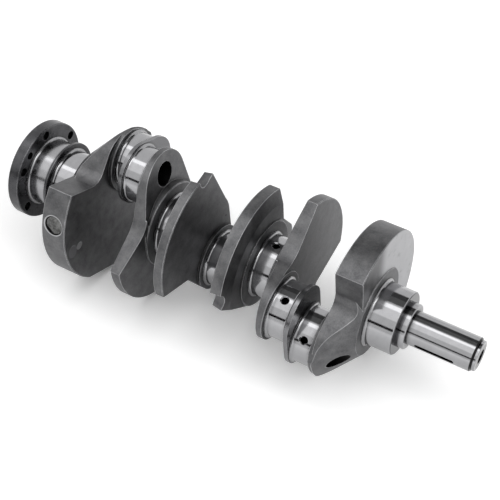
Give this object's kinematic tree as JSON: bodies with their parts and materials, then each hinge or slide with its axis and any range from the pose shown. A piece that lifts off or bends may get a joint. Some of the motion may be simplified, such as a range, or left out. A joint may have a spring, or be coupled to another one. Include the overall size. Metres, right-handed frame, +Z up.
{
  "type": "crankshaft",
  "caption": "Split-pin crankshaft with polished main journals and crankpins, dark counterweighted webs, a drilled flywheel flange and a keyed front snout.",
  "frame": {"origin": "centre of the flywheel flange's rear face, on the main bearing axis", "axes": "+X along the shaft from the flange to the snout, +Z up as the shaft lies in the picture, +Y completes the right-handed frame"},
  "size_m": [0.4998, 0.1699, 0.168],
  "materials": {
    "forged_steel": "dark satin, as treated after forging",
    "ground_steel": "mirror polished journal",
    "turned_steel": "fine turned",
    "heavy_alloy": "dull machined face"
  },
  "bodies": {
    "root": {"rear_flange": "forged_steel", "seal_collar": "ground_steel", "oil_slinger": "turned_steel", "main_journal_4": "ground_steel", "crank_web_6": "forged_steel", "balance_plug": "heavy_alloy", "crankpin_3_rear": "ground_steel", "flying_web_3": "turned_steel", "crankpin_3_front": "ground_steel", "crank_web_5": "forged_steel", "main_journal_3": "ground_steel", "crank_web_4": "forged_steel", "crankpin_2_rear": "ground_steel", "flying_web_2": "turned_steel", "crankpin_2_front": "ground_steel", "crank_web_3": "forged_steel", "main_journal_2": "ground_steel", "crank_web_2": "forged_steel", "crankpin_1_rear": "ground_steel", "flying_web_1": "turned_steel", "crankpin_1_front": "ground_steel", "crank_web_1": "forged_steel", "main_journal_1": "ground_steel", "gear_seat": "turned_steel", "snout": "ground_steel"}
  },
  "joints": []
}
